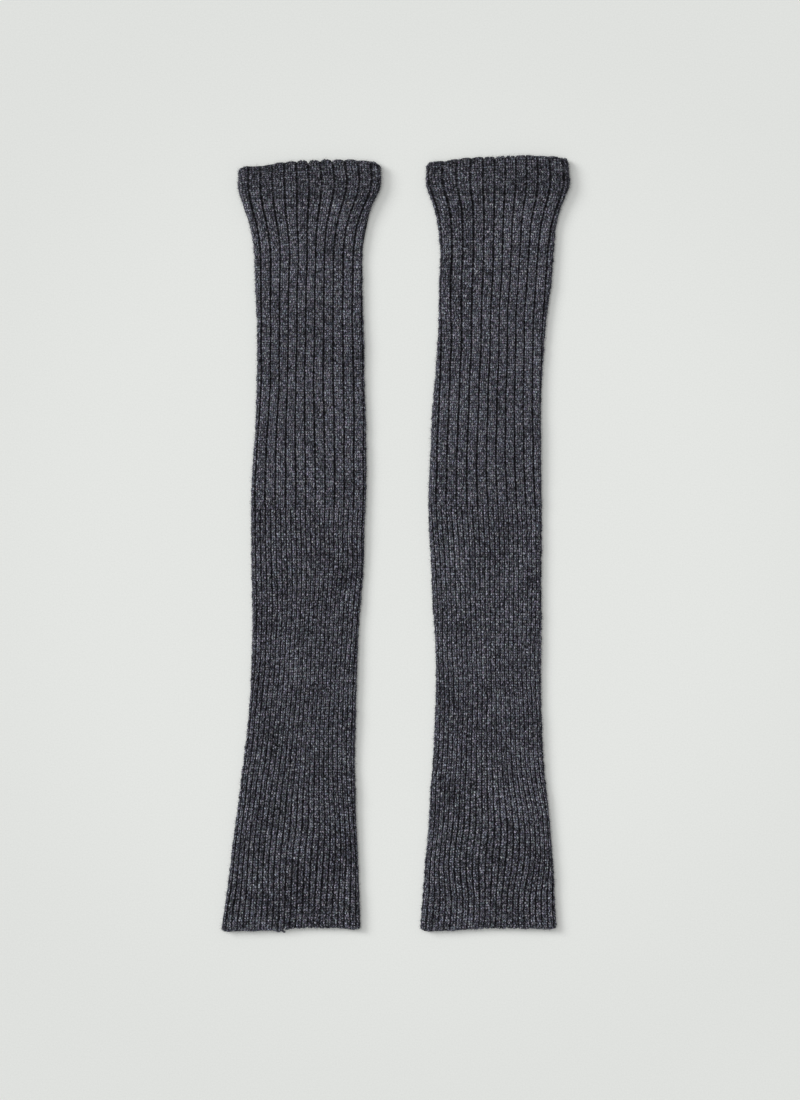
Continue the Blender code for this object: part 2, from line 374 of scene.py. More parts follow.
RIGHT_LIE = Lie(
    hand=Hand.RIGHT,
    place=68.0,
    link_line=251.6,
    rib_change=28.4,
    openness=1.0,
    sections=(
        Section(275, 5.2, 103.2, 7.0),
        Section(260, 5.3, 103.7, 7.2),
        Section(251, 5.3, 99.5, 7.0),
        Section(243, 5.2, 93.0, 6.4),
        Section(230, 4.9, 85.8, 5.6),
        Section(216, 4.8, 82.8, 5.2),
        Section(187, 3.5, 81.2, 5.2),
        Section(165, 1.9, 78.6, 5.2),
        Section(129, -0.7, 77.5, 5.2),
        Section(100, -2.3, 78.5, 5.2),
        Section(60, -3.5, 81.0, 5.2),
        Section(28, -3.7, 82.7, 5.1),
        Section(-15, -3.0, 79.9, 4.9),
        Section(-50, -2.1, 78.3, 4.8),
        Section(-100, -1.2, 76.5, 4.8),
        Section(-145, -1.6, 78.8, 4.8),
        Section(-200, -0.9, 88.2, 4.9),
        Section(-235, -0.9, 93.3, 5.0),
        Section(-274, -1.6, 98.0, 5.0),
    ),
    rib_run=(
        RibRun(275, 0.34, -0.14, -0.09),
        RibRun(244, 0.42, -0.11, -0.06),
        RibRun(205, 0.28, -0.08, -0.09),
        RibRun(175, 0.32, -0.08, -0.09),
        RibRun(140, 0.62, -0.05, -0.09),
        RibRun(104, 0.84, -0.02, -0.06),
        RibRun(40, 1.00, 0.01, -0.05),
        RibRun(3, 1.18, 0.05, -0.06),
        RibRun(-40, 1.22, 0.04, -0.03),
        RibRun(-84, 1.05, 0.01, -0.06),
        RibRun(-127, 1.26, 0.04, -0.03),
        RibRun(-170, 1.26, 0.10, -0.03),
        RibRun(-200, 1.46, 0.22, 0.00),
        RibRun(-228, 1.33, 0.22, 0.03),
        RibRun(-256, 1.18, -0.02, 0.00),
        RibRun(-274, 1.16, -0.02, 0.00),
    ),
    rim=(
        EdgePoint(0.00, 271.6),
        EdgePoint(0.02, 274.1),
        EdgePoint(0.07, 275.0),
        EdgePoint(0.17, 275.9),
        EdgePoint(0.24, 277.3),
        EdgePoint(0.41, 278.4),
        EdgePoint(0.58, 279.3),
        EdgePoint(0.70, 279.7),
        EdgePoint(0.82, 279.0),
        EdgePoint(0.94, 278.0),
        EdgePoint(0.975, 276.9),
        EdgePoint(1.00, 272.6),
    ),
    wrist=(
        EdgePoint(0.00, -277.0),
        EdgePoint(0.02, -277.8),
        EdgePoint(0.05, -278.3),
        EdgePoint(0.15, -278.3),
        EdgePoint(0.25, -278.0),
        EdgePoint(0.38, -277.2),
        EdgePoint(0.50, -276.7),
        EdgePoint(0.80, -276.7),
        EdgePoint(0.98, -276.6),
        EdgePoint(1.00, -276.2),
    ),
)

Line = Callable[[Array], Array]


def edge_line(points: tuple[EdgePoint, ...]) -> Line:
    """Return a line that follows an open end's outline."""
    return lambda across: read_column(points, "across", "along", across)


def straight_line(along: float) -> Line:
    """Return a line straight across the tube at a place along."""
    return lambda across: np.full_like(np.asarray(across, float), along)


@dataclass(frozen=True)
class RibKnit:
    """The rib pattern of one stretch of knitting.

    A rib starts in a groove, where its columns of stitches turn to the back, and carries
    a few columns of vees on its face. Half widths are shares of the rib, and depths and
    the course are in millimetres. A knit with flanks has a column on each side of its
    groove, and the opening says how much wider the painted shade of its grooves is where
    it is stretched.
    """

    groove_depth: float
    groove_half: float
    # Painted shade in a groove: half its width, as a share of the rib, and how dark it is
    painted_shade_half: float
    groove_painted_shade: float
    ribs_round: int = WIDE_RIBS_ROUND
    wales: int = 4
    flank: bool = True
    course: float = 1.77
    opening: float = 0.0
    crown: float = 0.25
    sharpness: float = 18.0
    relief: float = 0.30

    @property
    def per_wide(self) -> float:
        """Count this knit's ribs for one wide rib."""
        return self.ribs_round / WIDE_RIBS_ROUND

    def columns(self) -> tuple[Array, Array, Array, Array]:
        """List the mesh columns of one rib.

        Returns:
            Each column's place across the rib, its place counted in wales, its share
            of a vee's rise, and its lateral relief, which is highest on a leg.
        """
        rows = [(0.0, 0.0, 1.0, -1.0)]
        step = (1 - 2 * self.groove_half) / self.wales
        for wale in range(self.wales):
            start = self.groove_half + wale * step
            if wale or self.flank:
                rows.append((start, wale, 1.0, -1.0))
            for place, rise, ridge in VEE_COLUMNS:
                rows.append((start + place * step, wale + place, rise, ridge))
        if self.flank:
            rows.append((1 - self.groove_half, self.wales, 1.0, -1.0))
        across, wales, rises, ridges = np.array(rows, float).T
        return across, wales, rises, ridges

    def groove(self, rib: Array) -> Array:
        """Return 1 in the narrow groove where a rib starts and 0 on its low crown."""
        nearness = np.abs(np.cos(math.pi * rib))
        return (1 - self.crown) * nearness**self.sharpness + self.crown * nearness**2


BAND_KNIT = RibKnit(groove_depth=0.35, groove_half=0.065, painted_shade_half=0.18, groove_painted_shade=0.32, crown=0.12)
WIDE_KNIT = RibKnit(groove_depth=0.85, groove_half=0.075, painted_shade_half=0.15, groove_painted_shade=0.64, crown=0.10)
NARROW_KNIT = RibKnit(
    groove_depth=1.05,
    groove_half=0.06,
    painted_shade_half=0.24,
    groove_painted_shade=0.92,
    ribs_round=2 * WIDE_RIBS_ROUND,
    wales=2,
    flank=False,
    course=1.82,
    opening=2.0,
)


@dataclass
class Wall:
    """Rows of mesh points round a tube, in millimetres, with their places in the knit."""

    x: Array
    y: Array
    z: Array
    rib: Array
    # The painted shade in the grooves, half the width of that shade, and the painted shade along the
    # piece
    strength: Array
    half: Array
    light: Array
    wales: Array
    courses: Array


def outline(turn: Array, width: Array, height: Array) -> tuple[Array, Array, Array]:
    """Walk a flattened tube's outline, from the middle of the left side over the face.

    Args:
        turn: Shares of the way round.
        width: The tube's width at each point, in millimetres.
        height: The tube's thickness at each point, in millimetres.

    Returns:
        Each point's x and z, and the angle that its cloth faces.
    """
    radius = height / 2
    half_round = math.pi * radius
    straight = width - height
    whole = 2 * (half_round + straight)
    run = (turn * whole + half_round / 2) % whole
    left = run < half_round
    face = (run >= half_round) & (run < half_round + straight)
    right = (run >= half_round + straight) & (run < 2 * half_round + straight)
    left_angle = -math.pi / 2 - run / radius
    right_angle = math.pi / 2 - (run - half_round - straight) / radius
    angle = np.select([left, face, right], [left_angle, math.pi / 2, right_angle], -math.pi / 2)
    middle = np.select(
        [left, face, right],
        [-straight / 2, run - half_round - straight / 2, straight / 2],
        straight / 2 - (run - 2 * half_round - straight),
    )
    return middle + radius * np.cos(angle), radius + radius * np.sin(angle), angle


def keep_mesh(shape: bmesh.types.BMesh, name: str) -> Mesh:
    """Store a shape as a mesh of that name, and free the shape.

    Args:
        shape: The finished shape.
        name: The new mesh's name.

    Returns:
        The stored mesh.
    """
    mesh = bpy.data.meshes.new(name)
    shape.to_mesh(mesh)
    shape.free()
    return mesh


def read_points(mesh: Mesh) -> Array:
    """Read a mesh's points as rows of x, y and z.

    Args:
        mesh: The mesh to read.

    Returns:
        One row for each point, in the mesh's own metres.
    """
    flat = np.empty(len(mesh.vertices) * 3, np.float32)
    mesh.vertices.foreach_get("co", flat)
    return flat.reshape(-1, 3)


def place_points(mesh: Mesh, points: Array) -> None:
    """Move a mesh's points to rows of x, y and z in millimetres."""
    mesh.vertices.foreach_set("co", (points * MM).astype(np.float32).ravel())


def cut_ring(shape: bmesh.types.BMesh, level: float) -> None:
    """Cut an upright shape round at a height, so that it can bend there."""
    geometry = shape.verts[:] + shape.edges[:] + shape.faces[:]
    bmesh.ops.bisect_plane(
        shape, geom=geometry, dist=CUT_REACH, plane_co=(0, 0, level), plane_no=(0, 0, 1)
    )


def add_object(name: str, data: ID) -> Object:
    """Add an object to the scene, at the origin.

    Args:
        name: The new object's name.
        data: Its mesh, light or camera.

    Returns:
        The new object.
    """
    thing = bpy.data.objects.new(name, data)
    bpy.context.scene.collection.objects.link(thing)
    return thing


@dataclass
class KnitTube:
    """One knitted stretch of a warmer, as a closed wall with stitches on its face.

    The wall is one grid, rolled round the tube and turned in at both ends. Its outside
    has a column for each leg, middle and side of a vee, and two rows for each course.
    Its rolls, bumps, reaches and the pucker at a link line are in millimetres.
    """

    lie: Lie
    stretch: Stretch
    knit: RibKnit
    low_line: Line
    high_line: Line
    seed: int
    low_roll: float = 0.0
    high_roll: float = 0.0
    underside_columns: int = 20
    inside_rows: int = 6
    roll_rows: int = 5
    side_roll: float = 0.15
    scallop: float = 0.0
    scallop_reach: float = 7.0
    stitch_bump: float = 1.35
    bump_reach: float = 2.5
    underside_back: float = 2.1
    split_fade: float = 0.0
    pucker: float = 0.0

    @property
    def node(self) -> str:
        """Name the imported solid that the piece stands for."""
        return f"{self.lie.hand.value}_{self.stretch.value}"

    @property
    def name(self) -> str:
        """Name the piece after its solid."""
        return f"{self.node}_knit"

    @property
    def ends(self) -> tuple[float, float]:
        """Give the low and high ends at the middle of the width."""
        middle = np.array(0.5)
        return float(self.low_line(middle)), float(self.high_line(middle))

    @property
    def underside_steps(self) -> Array:
        """Give the underside's columns as shares of its width, up to the whole."""
        return np.arange(1, self.underside_columns + 2) / (self.underside_columns + 1)

    def from_ends(self, along: Array) -> tuple[Array, Array]:
        """Measure how far places lie above the low end and below the high end."""
        low, high = self.ends
        return along - low, high - along

    def rib_turn(self, rib: Array, along: Array) -> Array:
        """Return the share of the way round at which a place across a rib lies.

        Args:
            rib: Places counted in ribs.
            along: Each point's place along.

        Returns:
            Each point's share of the way round, with the ribs' sway, spread and lean.
        """
        per_wide = self.knit.per_wide
        sway = SWAY.over(rib / per_wide, along, self.seed)
        wobble = WOBBLE.over(rib, along, self.seed)
        shift = (self.lie.run("turn", along) + sway + wobble) * per_wide
        turn = (rib + shift) / self.knit.ribs_round
        wave = 4 * math.pi * turn
        spread = self.lie.run("spread", along) * np.sin(wave)
        spread += self.lie.run("lean", along) * (1 - np.cos(wave))
        return turn - spread / (4 * math.pi)

    def face_ribs(self) -> tuple[int, int]:
        """Give the first rib and the rib count that cover the face and both sides.

        Returns:
            The first rib's number, and how many ribs are modelled.
        """
        low, high = self.ends
        along = np.linspace(low, high, RIB_SAMPLES)
        turns = self.lie.run("turn", along) * self.knit.per_wide
        first = math.floor(FACE_START * self.knit.ribs_round - turns.max())
        last = math.ceil(FACE_END * self.knit.ribs_round - turns.min())
        return first, last - first

    def columns_round(self) -> tuple[Array, Array, Array, Array]:
        """List every column of the face and the sides, and then the plain underside's.

        Returns:
            Each column's place counted in ribs and in wales, its share of a vee's rise,
            and its lateral relief. The last column closes the round on the first.
        """
        first, count = self.face_ribs()
        across, wale, rise, ridge = self.knit.columns()
        last = first + count
        hidden = last + (self.knit.ribs_round - count) * self.underside_steps
        ribs = [rib + across for rib in range(first, last)] + [[last], hidden]
        wales = [rib * self.knit.wales + wale for rib in range(first, last)]
        wales += [[last * self.knit.wales], hidden * self.knit.wales]
        plain = np.zeros(len(hidden))
        rises = np.concatenate([np.tile(rise, count), rise[:1], plain + 0.5])
        ridges = np.concatenate([np.tile(ridge, count), ridge[:1], plain])
        return np.concatenate(ribs), np.concatenate(wales), rises, ridges

    def turns_round(self, rib: Array, along: Array) -> Array:
        """Return how far round each point lies, evenly spread over the underside.

        Args:
            rib: Each point's place counted in ribs.
            along: Each point's place along.

        Returns:
            Each point's share of the way round.
        """
        face = rib.shape[1] - self.underside_columns - 1
        turn = self.rib_turn(rib[:, :face], along[:, :face])
        start, end = turn[:, :1] + 1, turn[:, -1:]
        return np.concatenate([turn, end + (start - end) * self.underside_steps], axis=1)

    def row_places(self) -> tuple[Array, Array]:
        """List the outer rows from the low end to the high end.

        Returns:
            Each row's place along, and its place counted in courses, which is whole on
            the crest of a course.
        """
        low, high = self.ends
        low_roll = self.roll_distances(self.low_roll)
        high_roll = self.roll_distances(self.high_roll)
        start, end = low + self.low_roll, high - self.high_roll
        count = max(2, round((end - start) / self.knit.course * ROWS_PER_COURSE))
        inner = np.linspace(start, end, count + 1)
        along = np.concatenate([low + low_roll, inner, (high - high_roll)[::-1]])
        return along, (np.arange(len(along)) - len(low_roll)) / ROWS_PER_COURSE

    def roll_distances(self, roll: float) -> Array:
        """List the rows' distances from a rounded end, closest first.

        Args:
            roll: The round edge's radius, or 0 for an end that runs on.

        Returns:
            The distances, none where the end runs on.
        """
        if not roll:
            return np.array([])
        angles = np.linspace(0, math.pi / 2, self.roll_rows, endpoint=False)
        return roll * (1 - np.cos(angles))

    def roll_inset(self, along: Array) -> Array:
        """Return how far an end's round edge draws the wall in at places along.

        Args:
            along: Places along.

        Returns:
            The inset at each place, 0 away from the ends.
        """
        inset = np.zeros_like(along)
        for roll, distance in zip((self.low_roll, self.high_roll), self.from_ends(along)):
            if roll:
                share = np.clip(1 - distance / roll, 0, 1)
                inset += roll * (1 - np.sqrt(1 - share**2))
        return inset

    def lay(self, across: Array, along: Array) -> Array:
        """Bend places along so that the piece's ends follow their lines.

        Args:
            across: Each point's share of the width.
            along: Each point's place along.

        Returns:
            Each point's place on the surface, from wrist to upper arm.
        """
        low, high = self.ends
        share = (along - low) / (high - low)
        return self.low_line(across) * (1 - share) + self.high_line(across) * share

    def groove_sizes(self, rib: Array, along: Array) -> tuple[Array, Array]:
        """Return each groove's depth and its painted shade, and fade in the grooves that are new.

        Args:
            rib: Each point's place counted in ribs.
            along: Each point's place along.

        Returns:
            The groove's depth in millimetres and its painted shade from 0 to 1, at each point.
        """
        above, below = self.from_ends(along)
        depth = np.full_like(along, self.knit.groove_depth)
        dark = np.full_like(along, self.knit.groove_painted_shade)
        if self.split_fade:
            new = np.round(rib).astype(int) % 2 != 0
            fresh = ease(NEW_GROOVE_START, self.split_fade, below)
            kept = WIDE_KNIT.groove_depth + (depth - WIDE_KNIT.groove_depth) * fresh
            depth = np.where(new, depth * fresh, kept)
            dark = np.where(new, dark * fresh, dark)
        if self.stretch is Stretch.LOWER_TUBE:
            cast_on = CAST_ON_SHARE
            for gain, start, end in CAST_ON_GAINS:
                cast_on = cast_on + gain * ease(start, end, above)
            depth, dark = depth * cast_on, dark * cast_on
        if self.stretch is Stretch.HEM_BAND:
            inner = ease(0.0, LINK_FADE, above)
            depth = WIDE_KNIT.groove_depth + (depth - WIDE_KNIT.groove_depth) * inner
            dark = WIDE_KNIT.groove_painted_shade + (dark - WIDE_KNIT.groove_painted_shade) * inner
        patchy = 1 + GROOVE_PATCHES.over(rib / self.knit.per_wide, along, self.seed)
        return depth, np.minimum(dark * patchy, 1.0)

    def groove_half(self, width: Array) -> Array:
        """Return half the width of the grooves' painted shade, wider where the tube is stretched wide."""
        stretched = 1 + self.knit.opening * (width / RESTING_WIDTH - 1)
        return self.knit.painted_shade_half * self.lie.openness * stretched

    def light(self, along: Array) -> Array:
        """Return the painted light along the piece, with painted shade over the band and at a link line
        or a fold.

        Args:
            along: Each point's place along.

        Returns:
            The share of its light that the wool keeps.
        """
        above, below = self.from_ends(along)
        if self.stretch is Stretch.HEM_BAND:
            fold = FOLD_SHADE * ease(0.0, FOLD_WIDTH, FOLD_WIDTH - below)
            return BAND_PAINTED_LIGHT - fold - LINK_SHADE * np.exp(-((above / JOIN_WIDTH) ** 2))
        return 1 - JOIN_SHADE * np.exp(-((below / JOIN_WIDTH) ** 2))

    def edge_bumps(self, rib: Array, wales: Array, along: Array, shown: Array) -> Array:
        """Return how far the open ends move between ribs and between stitches.

        Args:
            rib: Each point's place counted in ribs.
            wales: Each column's place counted in wales.
            along: Each point's place along.
            shown: How far each point lies on the face.

        Returns:
            Each point's move towards the wrist, in millimetres.
        """
        above, below = self.from_ends(along)
        random = np.random.default_rng(self.seed + EDGE_DRAW)
        loop = np.floor(wales + 0.5).astype(int) % EDGE_LOOPS
        lumps = random.uniform(*LOOP_SIZES, EDGE_LOOPS)[loop]
        lumps = np.where(loop % 2 == 0, lumps, SMALL_LOOP * lumps)
        stitch = self.stitch_bump * (0.5 + 0.5 * np.cos(2 * math.pi * wales)) * lumps
        stitch = stitch + EDGE_WANDER.over(wales, np.zeros_like(wales), self.seed)
        back = np.zeros_like(along)
        if self.high_roll:
            rounded = self.scallop * np.abs(np.cos(math.pi * rib)) ** 3
            near = np.clip(1 - below / self.scallop_reach, 0, 1) ** 2
            close = np.clip(1 - below / self.bump_reach, 0, 1)
            back += shown * (rounded * near + stitch * close)
            back += (1 - shown) * self.underside_back * close
        if self.low_roll:
            close = np.clip(1 - above / self.bump_reach, 0, 1)
            back -= close * (shown * stitch + (1 - shown) * self.underside_back)
        return back

    def stitches(self, rows: int, ridge: Array) -> Array:
        """Return the relief of the vees, a little uneven from stitch to stitch.

        Args:
            rows: The number of outer rows.
            ridge: Each column's lateral relief, 0 where there are no stitches.

        Returns:
            The relief of each outer point, in millimetres.
        """
        random = np.random.default_rng(self.seed)
        first = len(self.roll_distances(self.low_roll))
        on_crest = (np.arange(rows) - first) % ROWS_PER_COURSE == 0
        crest = np.where(on_crest, 1.0, -1.0)[:, None]
        # A course stands higher on a leg than between two
        weight = CREST_WEIGHT + LEG_GAIN * (ridge[None, :] > 0)
        relief = self.knit.relief * (LEG_RELIEF * ridge[None, :] + weight * crest * CREST_RELIEF)
        relief = relief * random.uniform(*YARN_TENSION, relief.shape)
        relief += random.normal(0, YARN_ROUGHNESS, relief.shape)
        relief[:, ridge == 0] = 0.0
        relief[:, -1] = relief[:, 0]
        return relief

    def creases(self, x: Array, along: Array, facing: Array) -> Array:
        """Return the cloth's soft unevenness, with small lumps along both sides.

        Args:
            x: Each point's place across.
            along: Each point's place along.
            facing: The angle that the cloth faces there.

        Returns:
            How far each point stands out, in millimetres.
        """
        soft = sum(ripple.over(x, along, self.seed) for ripple in CREASES)
        lumps = sum(ripple.over(x, along, self.seed) for ripple in SIDE_LUMPS)
        return soft + lumps * np.abs(np.cos(facing)) ** 3

    def gather(self, along: Array) -> Array:
        """Return how far the link line draws the cloth in at places along.

        Args:
            along: Each point's place along.

        Returns:
            How far each point is drawn in.
        """
        above, below = self.from_ends(along)
        distance = above if self.stretch is Stretch.HEM_BAND else below
        return self.pucker * np.exp(-((distance / GATHER_WIDTH) ** 2))

    def outside(self) -> tuple[Wall, Array]:
        """Work out the outer wall, and how far each of its points lies on the face.

        Returns:
            The wall, and for each point 1 on the face and 0 on the underside.
        """
        rib, wales, rise, ridge = self.columns_round()
        along, courses = self.row_places()
        above, below = self.from_ends(along)
        away = ease(0.0, CALM_END, above) * ease(0.0, CALM_END, below)
        sheared = along[:, None] + VEE_RISE * (rise[None, :] - 0.5) * away[:, None]
        sheared[:, -1] = sheared[:, 0]
        ribs = np.broadcast_to(rib, sheared.shape)
        turn = self.turns_round(ribs, sheared)
        width, height = self.lie.size("width", sheared), self.lie.size("height", sheared)
        x, z, facing = outline(turn, width - SIDE_BULGE, height)
        face = rib.size - self.underside_columns - 1
        shown = ease(*FACE_RISE, z / height)
        shown[:, face:-1] = 0.0
        shown[:, -1] = shown[:, 0]
        depth, dark = self.groove_sizes(ribs, sheared)
        out = (self.creases(x, sheared, facing) - depth * self.knit.groove(ribs)) * shown
        out += (self.stitches(len(along), ridge) - self.gather(sheared)) * shown
        out[:, -1] = out[:, 0]
        dark[:, -1] = dark[:, 0]
        roll = self.roll_inset(np.broadcast_to(along[:, None], sheared.shape))
        y = self.lay(x / width + 0.5, sheared) - self.edge_bumps(ribs, wales, sheared, shown)
        x = x + (out - self.side_roll * roll) * np.cos(facing)
        x = x + self.lie.size("offset", sheared) - SIDE_BULGE / 2
        z = np.maximum(z + (out - roll) * np.sin(facing), 0.0)
        ripple = 0.5 + UNDERSIDE_RIPPLE.over(x, sheared, self.seed)
        z[:, face:-1] += UNDERSIDE_LIFT * (ripple * (1 - roll / 2))[:, face:-1]
        # Every outer point keeps a little painted groove shade, which marks the outer wall
        dark = np.maximum(dark, FAINTEST_GROOVE)
        half = self.groove_half(width)
        return Wall(x, y, z, ribs, dark, half, self.light(sheared), wales, courses), shown

    def inside(self, outer: Wall, shown: Array) -> Wall:
        """Work out the plain inner wall, from the high end back to the low end.

        Args:
            outer: The outer wall, whose columns it shares.
            shown: How far each of the outer wall's points lies on the face.

        Returns:
            The inner wall.
        """
        low, high = self.ends
        low_roll = self.roll_distances(self.low_roll)[1:]
        high_roll = self.roll_distances(self.high_roll)[1:]
        middle = np.linspace(high - self.high_roll, low + self.low_roll, self.inside_rows)
        along = np.concatenate([high - high_roll, middle, (low + low_roll)[::-1]])
        places = np.repeat(along[:, None], outer.x.shape[1], axis=1)
        ribs = np.broadcast_to(outer.rib[0], places.shape)
        turn = self.turns_round(ribs, places)
        width, height = self.lie.size("width", places), self.lie.size("height", places)
        wall = height - HOLLOW
        x, z, facing = outline(turn, width - wall, np.full_like(width, HOLLOW))
        seen = np.where(places > (low + high) / 2, shown[-1], shown[0])
        y = self.lay(x / width + 0.5, places) - self.edge_bumps(ribs, outer.wales, places, seen)
        out = self.roll_inset(places)
        x = x + out * np.cos(facing) + self.lie.size("offset", places)
        z = z + out * np.sin(facing) + wall * UNDER_WALL_SHARE
        courses = outer.courses[-1] + np.arange(1, len(along) + 1)
        none, full = np.zeros_like(x), np.ones_like(x)
        return Wall(x, y, z, ribs, none, self.groove_half(width), full, outer.wales, courses)

    def build(self) -> Object:
        """Build the wall: a grid is laid in place, rolled into a tube and welded.

        Returns:
            The piece, not yet dressed.
        """
        outer, shown = self.outside()
        inner = self.inside(outer, shown)
        parts = {
            key: np.concatenate([getattr(outer, key), getattr(inner, key), getattr(outer, key)[:1]])
            for key in ("x", "y", "z", "rib", "strength", "half", "light")
        }
        courses = np.concatenate([outer.courses, inner.courses, inner.courses[-1:] + 1])
        return add_object(self.name, self.lay_grid(Wall(**parts, wales=outer.wales, courses=courses)))

    def lay_grid(self, wall: Wall) -> Mesh:
        """Lay a grid's points in place and weld its two seams.

        Args:
            wall: The rows of the outer and the inner wall, the first one again at the end.

        Returns:
            The closed wall's mesh, with its places in the knit.
        """
        rows, columns = wall.x.shape
        grid = bmesh.new()
        bmesh.ops.create_grid(grid, x_segments=columns - 1, y_segments=rows - 1, size=1.0)
        mesh = keep_mesh(grid, self.name)
        flat = read_points(mesh)
        column = np.rint((flat[:, 0] + 1) / 2 * (columns - 1)).astype(int)
        row = np.rint((flat[:, 1] + 1) / 2 * (rows - 1)).astype(int)
        x, y, z = wall.x[row, column] + self.lie.place, wall.y[row, column], wall.z[row, column]
        place_points(mesh, np.stack([x, y, z], axis=1))
        corner = np.empty(len(mesh.loops), np.int32)
        mesh.loops.foreach_get("vertex_index", corner)
        at_row, at_column = row[corner], column[corner]
        knit = np.stack([wall.wales[at_column], wall.courses[at_row]], axis=1)
        # The ribs map holds each point's rib and half the width of its groove's painted shade
        ribs = np.stack([wall.rib[at_row, at_column], wall.half[at_row, at_column]], axis=1)
        for name, places in (("knit", knit), ("ribs", ribs)):
            layer = mesh.uv_layers.new(name=name)
            layer.data.foreach_set("uv", places.astype(np.float32).ravel())
        # The groove attribute holds the painted shade in the grooves, and the light attribute the painted
        # shade along the piece
        for name, values in (("groove", wall.strength), ("light", wall.light)):
            layer = mesh.attributes.new(name, "FLOAT", "POINT")
            layer.data.foreach_set("value", values[row, column].astype(np.float32))
        weld = bmesh.new()
        weld.from_mesh(mesh)
        bmesh.ops.remove_doubles(weld, verts=weld.verts, dist=WELD_REACH)
        bmesh.ops.recalc_face_normals(weld, faces=weld.faces)
        weld.to_mesh(mesh)
        weld.free()
        mesh.shade_smooth()
        return mesh

    def declare(self, piece: Object) -> None:
        """Hang the piece on the root body and hide the solid that it stands for.

        Args:
            piece: The finished piece.
        """
        low, high = self.ends
        along = np.linspace(low, high, SIZE_SAMPLES)
        width, height = self.lie.size("width", along), self.lie.size("height", along)
        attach(piece, "root")
        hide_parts(self.node)


